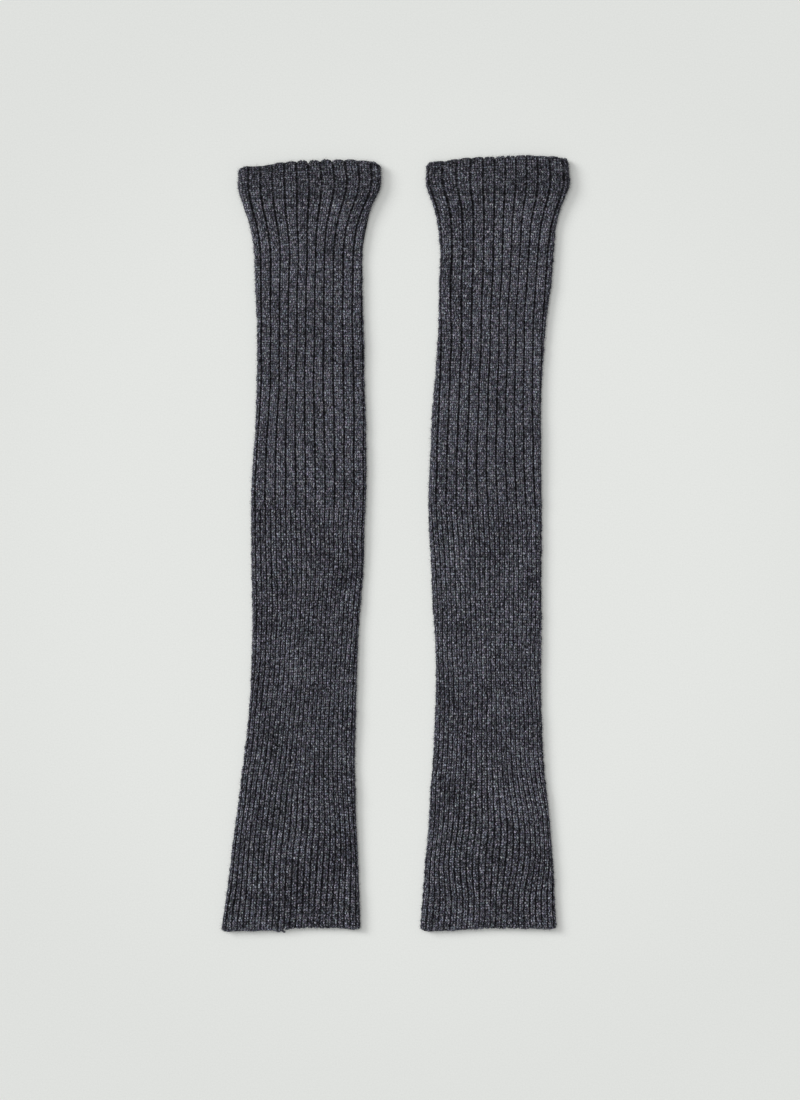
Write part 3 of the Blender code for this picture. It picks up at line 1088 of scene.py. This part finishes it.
@dataclass
class Nap:
    """Loose fibres that stand off one warmer's wool, most of them along its outline.

    Lengths are in millimetres. Cloth that faces sideways by more than edge_sideways and up
    by less than edge_facing is a side. Cloth that faces up by more than flat_facing is the
    face, where fibres stand only face_stand as steep. The outline is read in slices along
    the warmer.
    """

    hand: Hand
    seed: int
    along_outline: int = 4200
    on_face: int = 3000
    radius: float = 0.040
    taper: tuple[float, float, float] = (1.0, 0.85, 0.35)
    shortest: float = 0.5
    longest: float = 2.6
    root_depth: float = 0.12
    length_shape: float = 3.0
    length_scale: float = 0.5
    curl: float = 0.55
    droop: float = 0.4
    least_stand: float = 0.45
    face_stand: float = 0.4
    aside: float = 0.3
    edge_sideways: float = 0.8
    edge_facing: float = 0.55
    flat_facing: float = 0.6
    slice_length: float = 3.0
    side_band: float = 1.2
    rim_band: float = 9.0
    wrist_band: float = 3.0
    least_height: float = 0.5
    spacing: float = 4.0

    @property
    def name(self) -> str:
        """Name the fibres after their warmer."""
        return f"{self.hand.value}_loose_fibres"

    def build(self, pieces: list[Object], fibre: Material) -> Object:
        """Grow the fibres from the warmer's pieces.

        Args:
            pieces: The warmer's finished knitted pieces.
            fibre: The fibres' material.

        Returns:
            One piece with all the fibres.
        """
        roots, normals = self.roots(pieces)
        mesh = self.strands(len(roots))
        place_points(mesh, self.bend(read_points(mesh), roots, normals))
        mesh.materials.append(fibre)
        mesh.update()
        thing = add_object(self.name, mesh)
        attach(thing, "root")
        return thing

    def roots(self, pieces: list[Object]) -> tuple[Array, Array]:
        """Choose the fibres' roots on the outer walls, with the way the cloth faces.

        Args:
            pieces: The warmer's finished knitted pieces.

        Returns:
            The roots in millimetres, and the cloth's normal at each.
        """
        points, normals = [], []
        for piece in pieces:
            mesh = piece.data
            facing = np.empty(len(mesh.vertices) * 3, np.float32)
            strength = np.empty(len(mesh.vertices), np.float32)
            mesh.vertex_normals.foreach_get("vector", facing)
            mesh.attributes["groove"].data.foreach_get("value", strength)
            place = read_points(mesh) / MM
            # Only the outer walls carry painted groove shade
            outer = (strength > FAINTEST_GROOVE / 2) & (place[:, 2] > self.least_height)
            points.append(place[outer])
            normals.append(facing.reshape(-1, 3)[outer])
        place, facing = np.concatenate(points), np.concatenate(normals)
        random = np.random.default_rng(self.seed)
        sideways = np.hypot(facing[:, 0], facing[:, 1])
        side = (sideways > self.edge_sideways) & (facing[:, 2] < self.edge_facing)
        edge = np.flatnonzero(side)
        middle = np.flatnonzero(facing[:, 2] > self.flat_facing)
        edge = edge[self.near_outline(place[edge])]
        chosen = np.concatenate(
            [random.choice(edge, self.along_outline), random.choice(middle, self.on_face)]
        )
        return place[chosen], facing[chosen]

    def near_outline(self, place: Array) -> Array:
        """Tell which points lie on the warmer's outline as seen from above.

        Args:
            place: The points, in millimetres.

        Returns:
            True for each point on the outline.
        """
        slot = np.floor(place[:, 1] / self.slice_length).astype(int)
        slot -= slot.min()
        left = np.full(slot.max() + 1, np.inf)
        right = np.full(slot.max() + 1, -np.inf)
        np.minimum.at(left, slot, place[:, 0])
        np.maximum.at(right, slot, place[:, 0])
        near = place[:, 0] < left[slot] + self.side_band
        near |= place[:, 0] > right[slot] - self.side_band
        near |= place[:, 1] > place[:, 1].max() - self.rim_band
        near |= place[:, 1] < place[:, 1].min() + self.wrist_band
        return near

    def strands(self, count: int) -> Mesh:
        """Make straight strands in a row by doubling one closed three-sided prism.

        Args:
            count: How many strands to make.

        Returns:
            One mesh with all of them.
        """
        strand = bmesh.new()
        bmesh.ops.create_cone(
            strand, cap_ends=True, cap_tris=False, segments=3, radius1=1.0, radius2=1.0, depth=2.0
        )
        cut_ring(strand, 0)
        points_each = len(strand.verts)
        made = 1
        while made < count:
            faces = strand.faces[: min(made, count - made) * len(strand.faces) // made]
            copied = bmesh.ops.duplicate(strand, geom=faces)
            points = [part for part in copied["geom"] if isinstance(part, bmesh.types.BMVert)]
            bmesh.ops.translate(strand, vec=(self.spacing * made, 0.0, 0.0), verts=points)
            made += len(points) // points_each
        return keep_mesh(strand, self.name)

    def bend(self, flat: Array, roots: Array, normals: Array) -> Array:
        """Turn straight strands into curved fibres, one on each root.

        Args:
            flat: The strands' own points, nine to a strand, laid in a row.
            roots: Where each fibre starts, in millimetres.
            normals: Which way the cloth faces there.

        Returns:
            The fibres' points, in millimetres.
        """
        random = np.random.default_rng(self.seed + BEND_DRAW)
        count = len(roots)
        strand = np.rint(flat[:, 0] / self.spacing).astype(int)
        rings = np.rint(flat[:, 2] + 1).astype(int)
        lean = random.normal(0, 1, (count, 3))
        lean -= normals * (lean * normals).sum(axis=1, keepdims=True)
        lean /= np.linalg.norm(lean, axis=1, keepdims=True)
        length = random.gamma(self.length_shape, self.length_scale, (count, 1))
        length = np.clip(length, self.shortest, self.longest)
        stand = random.uniform(self.least_stand, 1.0, (count, 1))
        stand = np.where(normals[:, 2:] > self.flat_facing, self.face_stand * stand, stand)
        first = normals * stand + lean * (1 - stand)
        second = first + random.normal(0, self.curl, (count, 3)) + lean * self.droop
        first /= np.linalg.norm(first, axis=1, keepdims=True)
        second /= np.linalg.norm(second, axis=1, keepdims=True)
        start = roots - normals * self.root_depth
        middle = start + first * length * 0.5
        tip = middle + second * length * 0.5
        line = np.stack([start, middle, tip], axis=1)
        # A fibre that stands straight up still gets a side
        side = np.cross(first, normals + self.aside)
        side /= np.linalg.norm(side, axis=1, keepdims=True)
        over = np.cross(first, side)
        taper = np.array(self.taper)[rings] * self.radius
        points = line[strand, rings]
        points += ((flat[:, 0] - strand * self.spacing) * taper)[:, None] * side[strand]
        points += (flat[:, 1] * taper)[:, None] * over[strand]
        points[:, 2] = np.maximum(points[:, 2], self.radius / 2)
        return points


@dataclass
class YarnEnd:
    """The short end of yarn that peeps out below the left warmer's wrist edge.

    Its path and thickness are in millimetres, and its yarn has two plies.
    """

    path: tuple[tuple[float, float, float], ...] = (
        (-86.9, -277.0, 1.5),
        (-86.0, -278.5, 1.3),
        (-84.4, -278.9, 1.1),
        (-83.2, -278.0, 1.3),
        (-81.9, -278.4, 1.2),
        (-80.6, -279.3, 0.9),
        (-79.9, -279.0, 0.8),
    )
    name: str = "left_wrist_yarn_end"
    thickness: float = 1.25
    sides: int = 10
    rings: int = 31
    ply_depth: float = 0.14
    ply_turn: float = 0.9
    frayed: float = 0.55
    fray_power: int = 6

    def build(self, fibre: Material) -> Object:
        """Build the end as a tube of twisted yarn, swept along its path.

        Args:
            fibre: The loose fibres' material.

        Returns:
            The finished piece.
        """
        last = self.rings - 1
        tube = bmesh.new()
        bmesh.ops.create_cone(
            tube, cap_ends=True, cap_tris=True, segments=self.sides, radius1=1.0, radius2=1.0, depth=1.0
        )
        for ring in range(1, last):
            cut_ring(tube, ring / last - 0.5)
        self.sweep(tube)
        bmesh.ops.recalc_face_normals(tube, faces=tube.faces)
        mesh = keep_mesh(tube, self.name)
        mesh.shade_smooth()
        mesh.materials.append(fibre)
        thing = add_object(self.name, mesh)
        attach(thing, "root")
        return thing

    def sweep(self, tube: bmesh.types.BMesh) -> None:
        """Bend an upright tube along the path, twist its plies and fray its ends.

        Args:
            tube: The tube, cut round at each of its rings.
        """
        route = np.array(self.path)
        last = self.rings - 1
        along = np.linspace(0, len(route) - 1, self.rings)
        places = np.arange(len(route), dtype=float)
        line = np.stack([curve_through(places, column, along) for column in route.T], axis=1)
        for vertex in tube.verts:
            share = vertex.co.z + 0.5
            ring = round(share * last)
            ahead = Vector(line[min(ring + 1, last)] - line[max(ring - 1, 0)])
            side = ahead.cross(Vector((0, 0, 1))).normalized()
            over = side.cross(ahead).normalized()
            angle = math.atan2(vertex.co.y, vertex.co.x)
            twist = 1 + self.ply_depth * math.cos(2 * (angle + ring * self.ply_turn))
            fade = 1 - self.frayed * abs(2 * share - 1) ** self.fray_power
            radius = self.thickness / 2 * twist * fade * math.hypot(vertex.co.x, vertex.co.y)
            offset = side * math.cos(angle) * radius + over * math.sin(angle) * radius
            vertex.co = (Vector(line[ring]) + offset) * MM


def linear(code: str) -> tuple[float, float, float, float]:
    """Turn an sRGB hex code into a linear colour.

    Args:
        code: The code, such as "#C8CAD7".

    Returns:
        The colour's linear red, green and blue, and 1.
    """
    channels = [int(code[i : i + 2], 16) / 255 for i in (1, 3, 5)]
    straight = [c / 12.92 if c <= 0.04045 else ((c + 0.055) / 1.055) ** 2.4 for c in channels]
    return (*straight, 1.0)


def per_metre(size_mm: float) -> float:
    """Turn a pattern's real size into its scale on Object coordinates."""
    return 1 / (size_mm * MM)


def new_material(name: str) -> tuple[Material, NodeTree]:
    """Start a material of that name, with an empty node tree.

    Args:
        name: The new material's name.

    Returns:
        The material and its tree.
    """
    material = bpy.data.materials.new(name)
    material.use_nodes = True
    material.node_tree.nodes.clear()
    return material, material.node_tree


def add_node(
    tree: NodeTree,
    kind: str,
    settings: dict[str, object] | None = None,
    inputs: dict[str | int, object] | None = None,
) -> Node:
    """Add a node with its settings, values and links.

    Args:
        tree: The material's node tree.
        kind: The node's type, such as "ShaderNodeMath".
        settings: The node's own settings, by name.
        inputs: What each input takes, by name or number: a value, another node's
            output, or another node, which gives its first output.

    Returns:
        The new node.
    """
    node = tree.nodes.new(kind)
    for key, value in (settings or {}).items():
        setattr(node, key, value)
    for key, value in (inputs or {}).items():
        source = value.outputs[0] if isinstance(value, Node) else value
        if isinstance(source, NodeSocket):
            tree.links.new(source, node.inputs[key])
        else:
            node.inputs[key].default_value = source
    return node


def set_stops(ramp: Node, stops: tuple[tuple[float, str], ...]) -> None:
    """Set a colour ramp's stops, each a place and an sRGB hex code.

    Args:
        ramp: The colour ramp's node.
        stops: The stops, from dark to pale.
    """
    elements = ramp.color_ramp.elements
    for element, (place, code) in zip(elements, (stops[0], stops[-1])):
        element.position, element.color = place, linear(code)
    for place, code in stops[1:-1]:
        elements.new(place).color = linear(code)


# The kinds of node and the sums that come up most
MATH, VECTOR = "ShaderNodeMath", "ShaderNodeVectorMath"
NOISE, RANGE, MIX = "ShaderNodeTexNoise", "ShaderNodeMapRange", "ShaderNodeMix"
ADD, SUBTRACT = {"operation": "ADD"}, {"operation": "SUBTRACT"}
MULTIPLY, DIVIDE = {"operation": "MULTIPLY"}, {"operation": "DIVIDE"}
MULTIPLY_ADD = {"operation": "MULTIPLY_ADD"}
SMOOTH = {"interpolation_type": "SMOOTHSTEP"}


@dataclass(frozen=True)
class HeatherWool:
    """Charcoal heather wool, spun from dark and pale fibres and knitted in rib.

    The mixed fibres give each leg of a stitch its own grey, with a few pale flecks, and
    the eye sees soft lighter and darker clouds. The nap is matt with a faint sheen, and
    the grooves between ribs and the creases between stitches get painted shade, almost
    black in the grooves. A strand is about half a stitch wide, and the fibre clumps are
    drawn a little coarser than they are, so that they show.
    """

    deep: str = "#101014"
    body: str = "#484952"
    pale: str = "#7B7C88"
    fleck: str = "#C8CAD7"
    nap_sheen: str = "#B9BAC6"
    leg_weight: float = 0.40
    strand_weight: float = 1.30
    mottle_weight: float = 1.56
    cloud_weight: float = 0.22
    strands_per_stitch: tuple[float, float, float] = (4.4, 1.6, 0.0)
    cloud_mm: float = 30.0
    mottle_mm: float = 0.88
    hue_mm: float = 1.5
    fibre_mm: float = 0.5
    # Painted shade in the grooves and in the creases between wales and between courses
    groove_shade: float = 0.08
    wale_shade: float = 0.24
    wale_half: float = 0.30
    course_shade: float = 0.20
    course_half: float = 0.34
    hue_shift: float = 0.36
    raggedness: float = 0.28
    roughness: float = 0.95

    def build(self, name: str) -> Material:
        """Build the material.

        Args:
            name: The new material's name.

        Returns:
            The finished material.
        """
        material, tree = new_material(name)
        add = partial(add_node, tree)
        knit = add("ShaderNodeUVMap", {"uv_map": "knit"})
        place = add("ShaderNodeTexCoord").outputs["Object"]
        mottle = add(
            NOISE,
            inputs={"Vector": place, "Scale": per_metre(self.mottle_mm), "Detail": 2.0, "Roughness": 0.7},
        )
        heather = self.heather(tree, knit, place, mottle)
        nap = add(
            NOISE,
            inputs={"Vector": place, "Scale": per_metre(self.fibre_mm), "Detail": 3.0, "Roughness": 0.65},
        )
        raised = add("ShaderNodeBump", inputs={"Strength": 0.7, "Distance": 0.15 * MM, "Height": nap})
        shader = add(
            "ShaderNodeBsdfPrincipled",
            inputs={
                "Base Color": self.shade(tree, heather, knit, mottle),
                "Roughness": self.roughness,
                "Metallic": 0.0,
                "IOR": 1.45,
                "Specular IOR Level": 0.15,
                "Sheen Weight": 0.2,
                "Sheen Roughness": 0.45,
                "Sheen Tint": linear(self.nap_sheen),
                "Normal": raised,
            },
        )
        add("ShaderNodeOutputMaterial", inputs={"Surface": shader})
        return material

    def heather(self, tree: NodeTree, knit: Node, place: NodeSocket, mottle: Node) -> NodeSocket:
        """Mix the yarn's fibres: a grey for each leg, strands, flecks and clouds.

        Args:
            tree: The material's node tree.
            knit: The piece's places in wales and courses.
            place: The Object coordinates.
            mottle: The clumps of fibres.

        Returns:
            The wool's own colour.
        """
        add = partial(add_node, tree)
        # Two legs to a stitch, counted from the middle of a course
        legs = add(VECTOR, MULTIPLY_ADD, {0: knit, 1: (2.0, 1.0, 0.0), 2: (0.0, 0.5, 0.0)})
        leg = add(VECTOR, {"operation": "FLOOR"}, {0: legs})
        leg_grey = add("ShaderNodeTexWhiteNoise", {"noise_dimensions": "2D"}, {"Vector": leg})
        strands = add(VECTOR, MULTIPLY, {0: knit, 1: self.strands_per_stitch})
        strand = add(
            NOISE,
            {"noise_dimensions": "2D"},
            {"Vector": strands, "Scale": 1.0, "Detail": 2.0, "Roughness": 0.6},
        )
        cloud = add(NOISE, inputs={"Vector": place, "Scale": per_metre(self.cloud_mm), "Detail": 2.0})
        total = 0.5
        for pattern, weight in (
            (leg_grey, self.leg_weight),
            (strand, self.strand_weight),
            (mottle, self.mottle_weight),
            (cloud, self.cloud_weight),
        ):
            centred = add(MATH, SUBTRACT, {0: pattern, 1: 0.5})
            total = add(MATH, MULTIPLY_ADD, {0: centred, 1: weight, 2: total})
        ramp = add("ShaderNodeValToRGB", inputs={"Fac": total})
        set_stops(ramp, ((0.18, self.deep), (0.50, self.body), (0.70, self.pale), (0.95, self.fleck)))
        hue = add(
            NOISE,
            inputs={"Vector": place, "Scale": per_metre(self.hue_mm), "Detail": 2.0, "Roughness": 0.6},
        )
        tinted = add(
            MIX,
            {"data_type": "RGBA", "blend_type": "OVERLAY"},
            {"Factor": self.hue_shift, 6: ramp, 7: hue.outputs["Color"]},
        )
        return tinted.outputs[2]

    def shade(self, tree: NodeTree, colour: NodeSocket, knit: Node, mottle: Node) -> NodeSocket:
        """Paint shade into the grooves and the creases between stitches, where fibres trap light.

        Args:
            tree: The material's node tree.
            colour: The wool's own colour.
            knit: The piece's places in wales and courses.
            mottle: The clumps of fibres.

        Returns:
            The colour with its painted shade.
        """
        add = partial(add_node, tree)
        # Painted shade: its strength in the grooves, and along the piece
        strength = add("ShaderNodeAttribute", {"attribute_name": "groove"}).outputs["Fac"]
        light = add("ShaderNodeAttribute", {"attribute_name": "light"}).outputs["Fac"]
        rib = add("ShaderNodeSeparateXYZ", inputs={"Vector": add("ShaderNodeUVMap", {"uv_map": "ribs"})})
        # A groove's painted shade is wider where the wool is dark, and its middle wanders with the clumps
        uneven = add(
            RANGE,
            inputs={"Value": mottle, "From Min": 0.3, "From Max": 0.7, "To Min": 1.6, "To Max": 0.4},
        )
        half = add(MATH, MULTIPLY, {0: rib.outputs["Y"], 1: uneven})
        centred = add(MATH, SUBTRACT, {0: mottle, 1: 0.5})
        ragged = add(MATH, MULTIPLY_ADD, {0: centred, 1: self.raggedness, 2: rib.outputs["X"]})
        from_groove = self.distance(tree, ragged)
        share = add(MATH, DIVIDE, {0: from_groove, 1: half})
        depth = add(RANGE, SMOOTH, {"Value": share, "To Min": 1.0 - self.groove_shade, "To Max": 0.0})
        taken = add(MATH, MULTIPLY, {0: strength, 1: depth})
        keep = add(MATH, SUBTRACT, {0: 1.0, 1: taken})
        keep = add(MATH, MULTIPLY, {0: keep, 1: light})
        # Painted shade in the creases, which run between two wales and between two courses
        stitch = add("ShaderNodeSeparateXYZ", inputs={"Vector": knit})
        course = add(MATH, ADD, {0: stitch.outputs["Y"], 1: 0.5})
        for line, reach, least in (
            (stitch.outputs["X"], self.wale_half, self.wale_shade),
            (course, self.course_half, self.course_shade),
        ):
            lit = add(
                RANGE,
                inputs={"Value": self.distance(tree, line), "From Max": reach, "To Min": least},
            )
            keep = add(MATH, MULTIPLY, {0: keep, 1: lit})
        # Multiply the painted shade into the wool's colour
        darker = add(
            MIX,
            {"data_type": "RGBA", "blend_type": "MULTIPLY"},
            {"Factor": 1.0, 6: colour, 7: keep},
        )
        return darker.outputs[2]

    @staticmethod
    def distance(tree: NodeTree, count: Node | NodeSocket) -> Node:
        """Measure how far a count lies from the nearest whole number.

        Args:
            tree: The material's node tree.
            count: The count, which rises across the cloth.

        Returns:
            The distance, from 0 to one half.
        """
        add = partial(add_node, tree)
        moved = add(MATH, ADD, {0: count, 1: 0.5})
        part = add(MATH, {"operation": "FRACT"}, {0: moved})
        centred = add(MATH, SUBTRACT, {0: part, 1: 0.5})
        return add(MATH, {"operation": "ABSOLUTE"}, {0: centred})


@dataclass(frozen=True)
class LooseWool:
    """Single wool fibres in the yarn's own dark and pale greys, matt and a little sheer."""

    dark: str = "#34343A"
    pale: str = "#8C8E98"
    patch_mm: float = 2.2

    def build(self, name: str) -> Material:
        """Build the material.

        Args:
            name: The new material's name.

        Returns:
            The finished material.
        """
        material, tree = new_material(name)
        add = partial(add_node, tree)
        patch = add(
            NOISE,
            inputs={
                "Vector": add("ShaderNodeTexCoord").outputs["Object"],
                "Scale": per_metre(self.patch_mm),
                "Detail": 2.0,
                "Roughness": 0.6,
            },
        )
        ramp = add("ShaderNodeValToRGB", inputs={"Fac": patch})
        set_stops(ramp, ((0.38, self.dark), (0.66, self.pale)))
        shader = add(
            "ShaderNodeBsdfPrincipled",
            inputs={
                "Base Color": ramp,
                "Roughness": 0.85,
                "Metallic": 0.0,
                "IOR": 1.45,
                "Specular IOR Level": 0.2,
                "Sheen Weight": 0.2,
            },
        )
        add("ShaderNodeOutputMaterial", inputs={"Surface": shader})
        return material


@dataclass(frozen=True)
class PaleBoard:
    """Matt off-white board, with a faint tooth and painted shade that darkens it a little away from the
    middle.
    """

    colour: str = "#E7E9E6"
    roughness: float = 0.9
    tooth_mm: float = 1.1
    tooth: float = 0.12
    middle_m: float = 0.20
    far_m: float = 0.42
    far_painted_shade: float = 0.955

    def build(self, name: str) -> Material:
        """Build the material.

        Args:
            name: The new material's name.

        Returns:
            The finished material.
        """
        material, tree = new_material(name)
        add = partial(add_node, tree)
        place = add("ShaderNodeTexCoord").outputs["Object"]
        grain = add(NOISE, inputs={"Vector": place, "Scale": per_metre(self.tooth_mm), "Detail": 2.0})
        tooth = add(
            RANGE,
            inputs={"Value": grain, "To Min": 1 - self.tooth / 2, "To Max": 1 + self.tooth / 2},
        )
        # Painted shade, where the light falls off away from the middle
        away = add(VECTOR, {"operation": "LENGTH"}, {0: place})
        painted_falloff = add(
            RANGE,
            SMOOTH,
            {
                "Value": away.outputs["Value"],
                "From Min": self.middle_m,
                "From Max": self.far_m,
                "To Min": 1.0,
                "To Max": self.far_painted_shade,
            },
        )
        shade = add(MATH, MULTIPLY, {0: tooth, 1: painted_falloff})
        toned = add(
            MIX,
            {"data_type": "RGBA", "blend_type": "MULTIPLY"},
            {"Factor": 1.0, 6: linear(self.colour), 7: shade},
        )
        shader = add(
            "ShaderNodeBsdfPrincipled",
            inputs={
                "Base Color": toned.outputs[2],
                "Roughness": self.roughness,
                "Specular IOR Level": 0.1,
            },
        )
        add("ShaderNodeOutputMaterial", inputs={"Surface": shader})
        return material


@dataclass
class Warmer:
    """One whole arm warmer: hem band, upper tube and lower tube."""

    lie: Lie
    seed: int
    tubes: list[KnitTube] = field(default_factory=list)

    def __post_init__(self) -> None:
        """Lay out the three stretches between their lines."""
        lie = self.lie
        self.tubes = [
            KnitTube(
                lie,
                Stretch.HEM_BAND,
                BAND_KNIT,
                low_line=straight_line(lie.link_line - SEAM_OVERLAP),
                high_line=edge_line(lie.rim),
                seed=self.seed,
                high_roll=1.7,
                scallop=0.55,
                pucker=0.35,
            ),
            KnitTube(
                lie,
                Stretch.UPPER_TUBE,
                WIDE_KNIT,
                low_line=straight_line(lie.rib_change - SEAM_OVERLAP),
                high_line=straight_line(lie.link_line + SEAM_OVERLAP),
                seed=self.seed,
                pucker=0.35,
            ),
            KnitTube(
                lie,
                Stretch.LOWER_TUBE,
                NARROW_KNIT,
                low_line=edge_line(lie.wrist),
                high_line=straight_line(lie.rib_change + SEAM_OVERLAP),
                seed=self.seed,
                low_roll=0.55,
                stitch_bump=1.0,
                split_fade=1.6,
            ),
        ]

    def build(self, wool: Material, fibre: Material) -> list[Object]:
        """Args:
            wool: The knitted cloth's material.
            fibre: The loose fibres' material.

        Returns:
            The knitted pieces and the loose fibres.
        """
        made = []
        for tube in self.tubes:
            piece = tube.build()
            piece.data.materials.append(wool)
            tube.declare(piece)
            made.append(piece)
        return [*made, Nap(self.lie.hand, self.seed + NAP_DRAW).build(made, fibre)]


@dataclass(frozen=True)
class Studio:
    """The pale surface, the soft light from the left and the camera straight above.

    Lengths are in metres. The surface lies a hair below the cloth.
    """

    camera_height: float = 3.0
    floor_reach: float = 3.0
    floor_gap: float = 0.0002
    fill: float = 0.235
    near_clip: float = 0.1
    far_clip: float = 20.0

    def build(self) -> None:
        """Build the whole studio."""
        self.floor()
        self.lights()
        self.camera()

    def floor(self) -> None:
        """Lay the pale board, just under the cloth."""
        grid = bmesh.new()
        bmesh.ops.create_grid(grid, x_segments=1, y_segments=1, size=self.floor_reach)
        board = add_object("pale_surface", keep_mesh(grid, "pale_surface"))
        board.location.z = -self.floor_gap
        board.data.materials.append(PaleBoard().build("pale_board"))

    def lights(self) -> None:
        """Set a soft light low on the left, a broad one above and an even fill."""
        self.soft_sun("window", bearing=25.0, height=31.5, spread=26.0, power=1.86)
        self.soft_sun("ceiling", bearing=20.0, height=80.0, spread=60.0, power=1.35)
        world = bpy.data.worlds.new("studio")
        world.use_nodes = True
        sky = world.node_tree.nodes["Background"]
        sky.inputs["Color"].default_value = (1.0, 1.0, 1.0, 1.0)
        sky.inputs["Strength"].default_value = self.fill
        bpy.context.scene.world = world

    @staticmethod
    def soft_sun(name: str, bearing: float, height: float, spread: float, power: float) -> None:
        """Set one soft light, so far off that it falls evenly.

        Args:
            name: The light's name.
            bearing: Degrees from the left towards the top of the picture.
            height: Degrees above the surface.
            spread: The light's own breadth, in degrees.
            power: The light's strength.
        """
        turn, rise = math.radians(bearing), math.radians(height)
        across, up = -math.cos(turn) * math.cos(rise), math.sin(turn) * math.cos(rise)
        light = bpy.data.lights.new(name, "SUN")
        light.angle = math.radians(spread)
        light.energy = power
        from_light = -Vector((across, up, math.sin(rise)))
        add_object(name, light).rotation_euler = from_light.to_track_quat("-Z", "Y").to_euler()

    def camera(self) -> None:
        """Hang the camera straight above, framed as the photograph is."""
        lens = bpy.data.cameras.new("overhead")
        frame_height = PHOTO_HEIGHT_PX * MM_PER_PX * MM
        lens.lens = lens.sensor_width * self.camera_height / frame_height
        lens.clip_start, lens.clip_end = self.near_clip, self.far_clip
        camera = add_object("overhead", lens)
        camera.location = (PHOTO_MIDDLE_X * MM, PHOTO_MIDDLE_Y * MM, self.camera_height)
        bpy.context.scene.camera = camera
        bpy.context.scene.view_settings.view_transform = "Standard"


def main() -> None:
    """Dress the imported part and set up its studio."""
    logging.basicConfig(level=logging.INFO, format="%(message)s")
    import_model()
    wool = HeatherWool().build("charcoal_heather_wool_rib")
    fibre = LooseWool().build("loose_heather_wool_fibre")
    pieces = []
    for lie, seed in ((LEFT_LIE, LEFT_SEED), (RIGHT_LIE, RIGHT_SEED)):
        pieces += Warmer(lie, seed).build(wool, fibre)
    pieces.append(YarnEnd().build(fibre))
    for piece in pieces:
        log.info("%s: %d faces", piece.name, len(piece.data.polygons))
    Studio().build()


if __name__ == "__main__":
    main()
